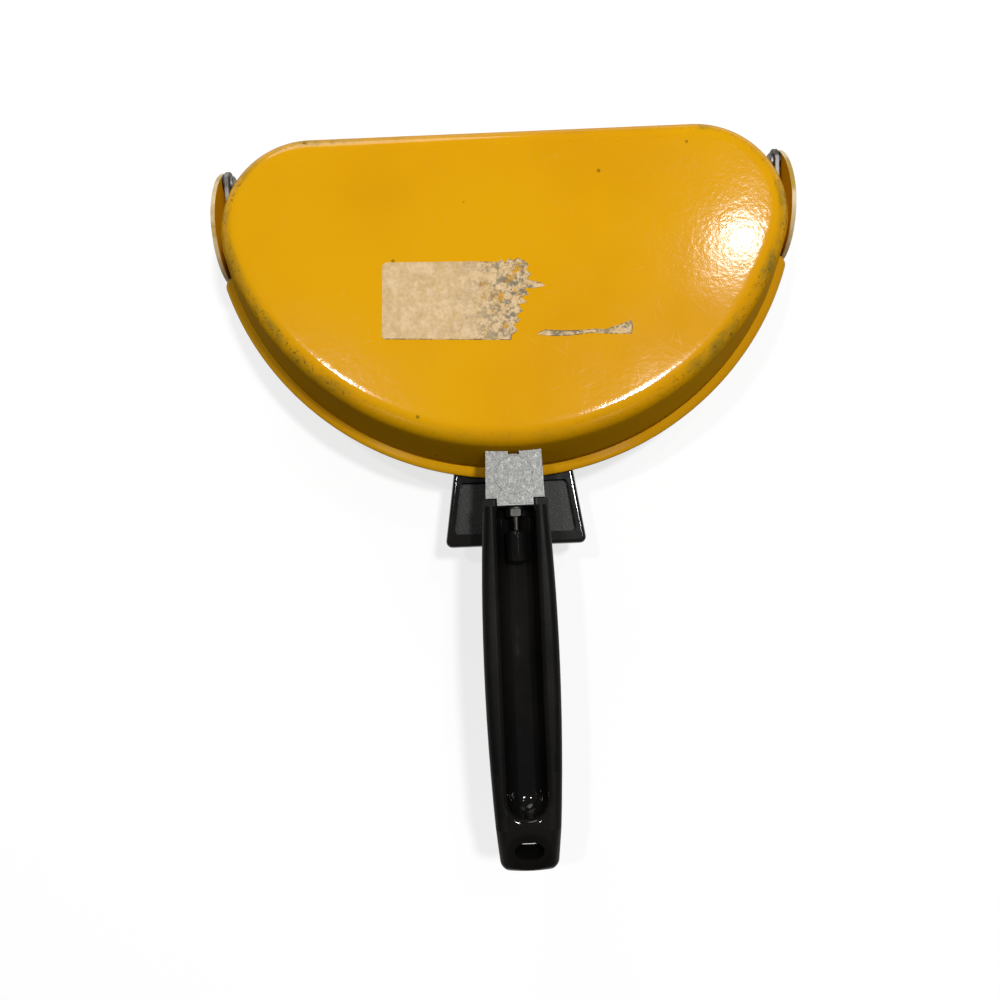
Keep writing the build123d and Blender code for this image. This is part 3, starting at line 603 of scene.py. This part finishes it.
def tab_phenolic():
    """Phenolic of the tab handle: glossy, with a grain and painted glints on the sunk top."""
    g, color, rough, fine = start_phenolic("black_phenolic_tab", 0.09)
    low = g.span(g.along(g.place, "Z"), *TAB_GRAIN_Z)
    sunk = g.times(low, g.span(g.facing_up(), 0.75, 0.95))
    grain = g.noise(1100.0, detail=3.0, roughness=0.6)
    # Light specks on the grain of the sunk top are painted glints.
    glint = g.times(g.span(grain, 0.60, 0.68), sunk)
    color = g.mix(sunk, color, BLACK_GRAINED)
    color = g.tinted(color, glint, 0.6, BLACK_GLINT)
    rough = g.plus(rough, g.times(sunk, 0.35))
    cast = g.bump(g.times(grain, sunk), 0.5, 0.0003, below=fine)
    return g.finish(color, rough, cast, specular=g.span(sunk, 0.0, 1.0, 0.5, 0.2))


def cast_aluminium():
    """Matte cast aluminium with pits and many short scratches; its tilted faces are paler, partly as
    rubbed edges and partly as a painted highlight.
    """
    g = Graph("cast_aluminium")
    grain = g.noise(520.0, detail=6.0, roughness=0.7)
    marks = g.many_scratches((10, 60, -50, 95), 0.003, 0.0002, 0.68)
    upright = g.facing_up()
    # Tilted faces, such as fillets and chamfers, are made pale: partly rubbed edges, partly a painted
    # highlight.
    rubbed = g.times(g.span(upright, 0.99, 0.9), g.span(upright, 0.3, 0.5))
    color = g.mix(g.span(grain, 0.3, 0.75), CAST_DARK, CAST_PALE)
    color = g.tinted(color, marks, 0.4, CAST_MARKED)
    color = g.tinted(color, rubbed, 0.8, CAST_RUBBED_AND_HIGHLIGHT)
    rough = g.calc("SUBTRACT", g.span(grain, 0.3, 0.7, 0.42, 0.6), g.times(rubbed, 0.12))
    pits = g.bump(grain, 0.5, 0.00025)
    return g.finish(color, rough, pits, metallic=g.span(rubbed, 0.0, 1.0, 0.6, 0.15))


def dull_metal(name, dark, light, rough):
    """Plain metal with handling marks."""
    g = Graph(name)
    patches = g.noise(160.0, detail=5.0)
    color = g.mix(g.span(patches, 0.35, 0.7), dark, light)
    lines = g.bump(g.noise(900.0, detail=2.0), 0.2, 0.0001)
    return g.finish(color, g.span(patches, 0.3, 0.7, rough, rough + 0.15), lines, metallic=0.95)


def paper_rest():
    """Paper and glue left by a label: blank, torn thin at one side and grey with dirt there."""
    g = Graph("paper_rest")
    fibre = g.noise(300.0, detail=6.0, roughness=0.7)
    torn_side = g.span(g.along(g.place, "X"), *TORN_SIDE_X)
    dirt = g.patches(360.0, 0.47, 0.56, detail=8.0, roughness=0.75)
    dirt = g.times(dirt, g.span(torn_side, 0.1, 0.9, 0.12, 0.95))
    color = g.mix(g.span(fibre, 0.3, 0.7), PAPER_TAN, PAPER_PALE)
    color = g.mix(dirt, color, PAPER_DIRTY)
    material = g.finish(color, 0.62, g.bump(fibre, 0.3, 0.0001))
    on_sheet = g.times(torn_side, g.span(g.along(g.place, "X"), *SHEET_END_X))
    gaps = g.times(g.patches(210.0, 0.56, 0.60, detail=7.0, roughness=0.7), on_sheet)
    clear = g.node("ShaderNodeBsdfTransparent")
    blend = g.node("ShaderNodeMixShader")
    for socket, value in zip(blend.inputs, (gaps, g.shader.outputs[0], clear.outputs[0])):
        g.feed(socket, value)
    g.feed(g.tree.nodes["Material Output"].inputs["Surface"], blend.outputs[0])
    return material


def paper_dirt():
    """Dark dirt that clings to the torn edges of the paper."""
    g = Graph("paper_dirt")
    spots = g.patches(420.0, 0.40, 0.58, detail=6.0, roughness=0.7)
    color = g.mix(spots, DIRT_THIN, DIRT_THICK)
    return g.finish(color, 0.7, g.bump(spots, 0.3, 0.0001))


def floor_white():
    """White to the camera and in reflections, with the object's shadow on it."""
    g = Graph("floor_white")
    path = g.node("ShaderNodeLightPath").outputs
    seen = g.larger(path["Is Camera Ray"], path["Is Glossy Ray"])
    seen = g.larger(seen, path["Is Transmission Ray"])
    lit = g.span(seen, 0.0, 1.0, FLOOR_BOUNCE, FLOOR_LIT)
    g.feed(g.shader.inputs["Emission Color"], WHITE)
    g.feed(g.shader.inputs["Emission Strength"], g.times(seen, FLOOR_GLOW))
    tone = g.fed("ShaderNodeCombineColor", {name: lit for name in ("Red", "Green", "Blue")})
    return g.finish(tone.outputs[0], 0.9, specular=0.0)


ENAMEL = enamel()
NONSTICK = nonstick()
EDGE = bare_edge()
RIM = worn_rim()
HANDLE_BLACK = handle_phenolic()
TAB_BLACK = tab_phenolic()
CAST = cast_aluminium()
STEEL = dull_metal("dull_steel", (0.030, 0.029, 0.026), (0.085, 0.082, 0.075), 0.40)
DARK_STEEL = dull_metal("oiled_steel", (0.012, 0.0115, 0.010), (0.035, 0.034, 0.030), 0.30)
RIVET = dull_metal("rivet_aluminium", (0.12, 0.115, 0.105), (0.28, 0.27, 0.255), 0.40)
PAPER = paper_rest()
PAPER_DIRT = paper_dirt()

NODE_MATERIALS = {
    "hinge_pin_left": RIVET,
    "hinge_pin_right": RIVET,
    "hinge_washer_left": STEEL,
    "hinge_washer_right": STEEL,
    "handle_bracket": CAST,
    "handle_bracket_rivets": RIVET,
    "handle_stud": DARK_STEEL,
    "stud_washer": STEEL,
    "stud_nut": STEEL,
    "long_handle": HANDLE_BLACK,
    "tab_bracket": STEEL,
    "tab_bracket_rivets": RIVET,
    "tab_handle": TAB_BLACK,
    "tab_screw": STEEL,
    "tab_screw_washer": STEEL,
}


# Pan shells.


def round_edge(radius, inset):
    """Section of the rounded base edge: (offset, level) pairs from the base to the wall."""
    centre_level = SHEET + radius if inset else radius
    centre_offset = wall_offset(centre_level) - inset - radius / cos(WALL_LEAN)
    pairs = []
    for turn in np.linspace(-pi / 2, -WALL_LEAN, ROUNDING_POINTS):
        pairs.append((centre_offset + radius * cos(turn), centre_level + radius * sin(turn)))
    return pairs


def shell_section(rim):
    """Section of a whole pan: outside from the base to the rim, then the inside back down."""
    outer = round_edge(BASE_EDGE_RADIUS, 0.0)
    inner = round_edge(BASE_EDGE_RADIUS - SHEET, SHEET_ACROSS)
    flat_outer = [(outer[0][0] - inset, 0.0) for inset in FLAT_RINGS]
    flat_inner = [(inner[0][0] - inset, SHEET) for inset in FLAT_RINGS]
    levels = np.linspace(BASE_EDGE_RADIUS + WALL_START, rim - RIM_SOFTNESS, WALL_RINGS)
    wall_out = [(wall_offset(level), level) for level in levels]
    wall_in = [(wall_offset(level) - SHEET_ACROSS, level) for level in levels]
    top_out = (wall_offset(rim) - RIM_SOFTNESS, rim)
    top_in = (wall_offset(rim) - SHEET_ACROSS + RIM_SOFTNESS, rim)
    outside = flat_outer + outer + wall_out
    inside = wall_in[::-1] + inner[::-1] + flat_inner[::-1]
    return outside + [top_out, top_in] + inside, len(outside) - 1


def shell_places():
    """Places once round the outline, closest together on the front."""
    runs = [np.linspace(i, i + 1, steps + 1)[:-1] for i, steps in enumerate(STRETCH_STEPS)]
    return np.concatenate(runs)


def lowered_rim(point, rim):
    """The lower pan's rim is lower along the straight edge, where the upper wall swings over it."""
    x, y, level = point
    low = PAN_DEPTH - STRAIGHT_RIM_DROP
    limit = low if y > HINGE_Y - STRAIGHT_RIM_CUT else rim
    return (x, y, min(level, limit))


def share_of(value):
    """The value, kept between 0 and 1."""
    return min(1.0, max(0.0, value))


def mark_edges(thing, turned):
    """Stores how near each vertex is to the rounded base edge, for the scuffs."""
    mesh = thing.data
    values = []
    centre_offset = -BASE_EDGE_RADIUS / cos(WALL_LEAN)
    for vertex in mesh.vertices:
        x, y, z = vertex.co / MM
        level = CLOSED_HEIGHT - z if turned else z
        inside = distance_inside(x, y)
        near = share_of(1.0 - abs(level - WEAR_LEVEL) / WEAR_SPREAD)
        near *= share_of((WEAR_REACH + centre_offset - inside) / WEAR_FADE + 1.0)
        values.append(near if inside < FLAT_BASE_FROM else near * FLAT_BASE_WEAR)
    layer = mesh.attributes.new("edge", "FLOAT", "POINT")
    layer.data.foreach_set("value", values)


def make_shell(name, rim, turned):
    """One whole pan with its rim at a level; the upper one is turned over."""
    section, rim_step = shell_section(rim)
    places = shell_places()
    rings = [ring_of(offset, level, places) for offset, level in section]
    if turned:
        rings = upside_down(rings)
    else:
        rings = [[lowered_rim(point, rim) for point in ring] for ring in rings]
    verts, faces, steps = skin(rings, True)
    kinds = [OUTSIDE if s < rim_step else TRIMMED if s <= rim_step + 2 else INSIDE for s in steps]
    count = len(places)
    faces.append(tuple(range(count)))
    faces.append(tuple(range(len(verts) - count, len(verts))))
    kinds += [OUTSIDE, INSIDE]
    thing = new_object(name, verts, faces, (ENAMEL, NONSTICK, EDGE), kinds)
    mark_edges(thing, turned)
    return thing


def tapered_ring(offset, root, level, places):
    """Ring of the lip, which narrows toward its root at both ends."""
    ring = []
    last = len(places) - 1
    for i, place in enumerate(places):
        share = min(1.0, min(i, last - i) / LIP_TAPER_STEPS)
        width = LIP_END_SHARE + (1 - LIP_END_SHARE) * sin(share * pi / 2)
        ring += ring_of(root + (offset - root) * width, level, [place])
    return ring


def lip_places(edge_offset):
    """Places along the lip, which ends just before the ears."""
    grow = edge_offset - wall_offset(PAN_DEPTH)
    reach = EAR_FRONT_REACH + LIP_TO_EAR
    cut_y = HINGE_Y - sqrt(reach ** 2 - (CLOSED_HEIGHT - PAN_DEPTH - HINGE_Z) ** 2)
    start = corner_place(PAN_DEPTH, grow, cut_y)
    return np.concatenate([
        np.linspace(start, 2, LIP_CORNER_PLACES)[:-1],
        np.linspace(2, 3, LIP_FRONT_STEPS + 1)[:-1],
        np.linspace(3, len(STRETCH_STEPS) + 1 - start, LIP_CORNER_PLACES),
    ])


def lip_slope(crease_level, runs):
    """Points on a slope of the lip at these distances out from the crease, at this level there."""
    crease = wall_offset(CREASE_LEVEL)
    return [(crease + run, crease_level + run * LIP_SLOPE) for run in runs]


def make_lip():
    """Sloping lip along the curved front of the upper pan."""
    crease = wall_offset(CREASE_LEVEL)
    root = crease - SHEET
    edge = crease + LIP_RUN
    places = lip_places(edge)
    soft = RIM_SOFTNESS
    under = lip_slope(CREASE_LEVEL, (-SHEET, *CREASE_RUNS, LIP_RUN / 2, LIP_RUN - soft))
    over = lip_slope(CREASE_LEVEL + LIP_THICKNESS, (LIP_RUN - soft, 0.0, -SHEET))
    section = under + [(edge, PAN_DEPTH + soft), (edge, PAN_DEPTH + LIP_THICKNESS - soft)] + over
    rings = upside_down([tapered_ring(offset, root, level, places) for offset, level in section])
    verts, faces, steps = skin(rings, False, closed_loop=True)
    edge_step = len(under)
    kinds = [OUTSIDE if s < edge_step else TRIMMED if s == edge_step else INSIDE for s in steps]
    count = len(places)
    faces.append(tuple(i * count for i in range(len(section))))
    faces.append(tuple(i * count + count - 1 for i in range(len(section))))
    kinds += [TRIMMED, TRIMMED]
    return new_object("upper_lip", verts, faces, (ENAMEL, NONSTICK, EDGE), kinds)


# Hinge.


def plate(name, outline, x_in, x_out, materials, kinds):
    """Flat sheet in a plane across X; kinds are the materials of inner face, outer face, edge."""
    count = len(outline)
    verts = [(x_in, y, z) for y, z in outline] + [(x_out, y, z) for y, z in outline]
    face_kinds = [kinds[0], kinds[1]] + [kinds[2]] * count
    return new_object(name, verts, slab_faces(count), materials, face_kinds)


def bulged(start, crest, bulge):
    """Middle point of an ear's curve, given as its shares of the way from start to crest."""
    along, up = bulge
    return (start[0] + along * (crest[0] - start[0]), start[1] + up * (crest[1] - start[1]))


def ear_outline():
    """Outline of an ear as (y, z): from its front over the crest and down to its foot."""
    crest = (HINGE_Y - EAR_CREST_REACH, HINGE_Z + EAR_RISE)
    front = (HINGE_Y - EAR_FRONT_REACH, CREASE_LEVEL)
    rear = (HINGE_Y + EAR_REAR_REACH, HINGE_Z - EAR_FOOT_DROP - SHEET)
    foot = (front[0], rear[1])
    front_arc = circle_arc(front, bulged(front, crest, EAR_FRONT_BULGE), crest, EAR_FRONT_POINTS)
    rear_arc = circle_arc(crest, bulged(rear, crest, EAR_REAR_BULGE), rear, EAR_REAR_POINTS)
    shortly_before = rear_arc[-4]
    corner = rounded_corner(shortly_before, rear, foot, EAR_CORNER_ROUND)
    rear_arc = [point for point in rear_arc[:-1] if point[1] > corner[0][1]]
    return front_arc + rear_arc[1:] + corner + [foot]


def make_ear(side, name):
    ear = plate(name, ear_outline(), side * EAR_IN_X, side * EAR_OUT_X, (ENAMEL, RIM), (0, 0, 1))
    edge_bevel(ear, 0.5)
    return ear


def make_shelf(side, name):
    """Shelf that joins an ear to the wall of the lower pan."""
    level = HINGE_Z - EAR_FOOT_DROP
    front_y = HINGE_Y - EAR_FRONT_REACH
    rear_y = HINGE_Y + EAR_SHELF_REACH
    start = corner_place(level, -EAR_SHELF_SINK, rear_y)
    end = corner_place(level, -EAR_SHELF_SINK, front_y)
    places = np.linspace(start, end, SHELF_POINTS)
    inner = [outline_point(level, -EAR_SHELF_SINK, place) for place in places]
    out_x = EAR_OUT_X - SHEET / 2
    outer = [(out_x, front_y), (out_x, rear_y - EAR_SHELF_ROUND), (out_x - EAR_SHELF_ROUND, rear_y)]
    flat = [(side * x, y) for x, y in inner + outer]
    verts = [(x, y, level - SHEET) for x, y in flat] + [(x, y, level) for x, y in flat]
    faces = slab_faces(len(flat))
    shelf = new_object(name, verts, faces, (ENAMEL,), [0] * len(faces))
    edge_bevel(shelf, 0.4)
    return shelf


def make_tongue(side, name):
    """Tongue of the upper pan inside an ear, round at the pin."""
    front_y = HINGE_Y - TONGUE_REACH
    top_z = HINGE_Z + TONGUE_END_RADIUS
    last_turn = -pi + asin((HINGE_Z - PAN_DEPTH) / TONGUE_END_RADIUS)
    turns = np.linspace(pi / 2, last_turn, TONGUE_END_POINTS)
    end = [(HINGE_Y + TONGUE_END_RADIUS * cos(t), HINGE_Z + TONGUE_END_RADIUS * sin(t)) for t in turns]
    outline = [(front_y, PAN_DEPTH + LIP_DROP), (HINGE_Y, top_z)] + end[1:] + [(front_y, PAN_DEPTH)]
    materials = (NONSTICK, ENAMEL, RIVET)
    tongue = plate(name, outline, side * (TONGUE_OUT_X - SHEET), side * TONGUE_OUT_X, materials, (0, 1, 2))
    edge_bevel(tongue, 0.25, segments=2)
    return tongue


def make_paper(name, outline):
    """Thin sheet whose torn and lower edges carry a line of dirt."""
    verts = [(x, y, CLOSED_HEIGHT - PAPER_THICKNESS) for x, y in outline]
    verts += [(x, y, CLOSED_HEIGHT + PAPER_THICKNESS) for x, y in outline]
    faces = slab_faces(len(outline))
    paper = new_object(name, verts, faces, (PAPER, PAPER_DIRT), [0] * len(faces), smooth=False)
    work = bmesh.new()
    work.from_mesh(paper.data)
    work.faces.ensure_lookup_table()
    top = max(work.faces, key=lambda face: face.calc_center_median().z)
    rim = bmesh.ops.inset_individual(work, faces=[top], thickness=DIRT_LINE * MM)["faces"]
    for face in rim:
        middle = face.calc_center_median() / MM
        if middle.x > DIRT_FROM_X or middle.y < DIRT_BELOW_Y:
            face.material_index = 1
    work.to_mesh(paper.data)
    work.free()
    return paper


# The pieces on their bodies, the floor, the lamps and the camera.


def add_pans():
    lower = make_shell("lower_shell", PAN_DEPTH - RIM_GAP, False)
    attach(lower, "lower_half")
    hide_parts("lower_pan")
    upper = make_shell("upper_shell", PAN_DEPTH, True)
    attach(upper, "upper_half")
    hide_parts("upper_pan")
    for side, word in ((-1, "left"), (1, "right")):
        for thing in (make_ear(side, f"ear_{word}"), make_shelf(side, f"ear_shelf_{word}")):
            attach(thing, "lower_half")
        tongue = make_tongue(side, f"hinge_tongue_{word}")
        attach(tongue, "upper_half")
    lip = make_lip()
    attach(lip, "upper_half")
    for name, outline in (("paper_rest_sheet", PAPER_SHEET), ("paper_rest_strip", PAPER_STRIP)):
        paper = make_paper(name, outline)
        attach(paper, "upper_half")


def paint_nodes():
    for name, material in NODE_MATERIALS.items():
        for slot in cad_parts[name].material_slots:
            slot.material = material


def add_floor():
    mesh = bpy.data.meshes.new("floor")
    half = FLOOR_HALF
    corners = [(-half, -half, 0), (half, -half, 0), (half, half, 0), (-half, half, 0)]
    mesh.from_pydata(corners, [], [(0, 1, 2, 3)])
    floor = bpy.data.objects.new("floor", mesh)
    bpy.context.scene.collection.objects.link(floor)
    floor.location.z = -FLOOR_DROP
    mesh.materials.append(floor_white())


def add_lamp(name, target, direction, distance, size, power):
    light = bpy.data.lights.new(name, "AREA")
    light.shape = "DISK"
    light.size = size
    light.energy = power
    lamp = bpy.data.objects.new(name, light)
    bpy.context.scene.collection.objects.link(lamp)
    away = Vector(direction).normalized()
    lamp.location = Vector(target) + away * distance
    lamp.rotation_euler = (-away).to_track_quat("-Z", "Y").to_euler()


def add_lights():
    for name, lamp in LAMPS.items():
        add_lamp(name, *lamp)
    world = bpy.data.worlds.new("room")
    world.use_nodes = True
    background = world.node_tree.nodes["Background"]
    background.inputs["Color"].default_value = (*WHITE, 1.0)
    background.inputs["Strength"].default_value = ROOM_LIGHT
    bpy.context.scene.world = world


def add_camera():
    data = bpy.data.cameras.new("camera")
    data.sensor_fit = "HORIZONTAL"
    data.sensor_width = SENSOR_MM
    data.lens = SENSOR_MM * CAMERA_FOCAL_PIXELS / PICTURE_PIXELS
    data.clip_start = CLIP_START
    camera = bpy.data.objects.new("camera", data)
    bpy.context.scene.collection.objects.link(camera)
    tilt, roll, turn = (radians(angle) for angle in CAMERA_TURNS)
    world_to_camera = (
        Matrix.Rotation(turn, 4, "Z") @ Matrix.Rotation(roll, 4, "Y") @ Matrix.Rotation(tilt, 4, "X")
    )
    place = Matrix.Translation(Vector(CAMERA_PLACE) * MM)
    camera.matrix_world = place @ world_to_camera.inverted()
    bpy.context.scene.camera = camera


add_pans()
paint_nodes()
add_floor()
add_lights()
add_camera()
bpy.context.scene.view_settings.view_transform = "Standard"
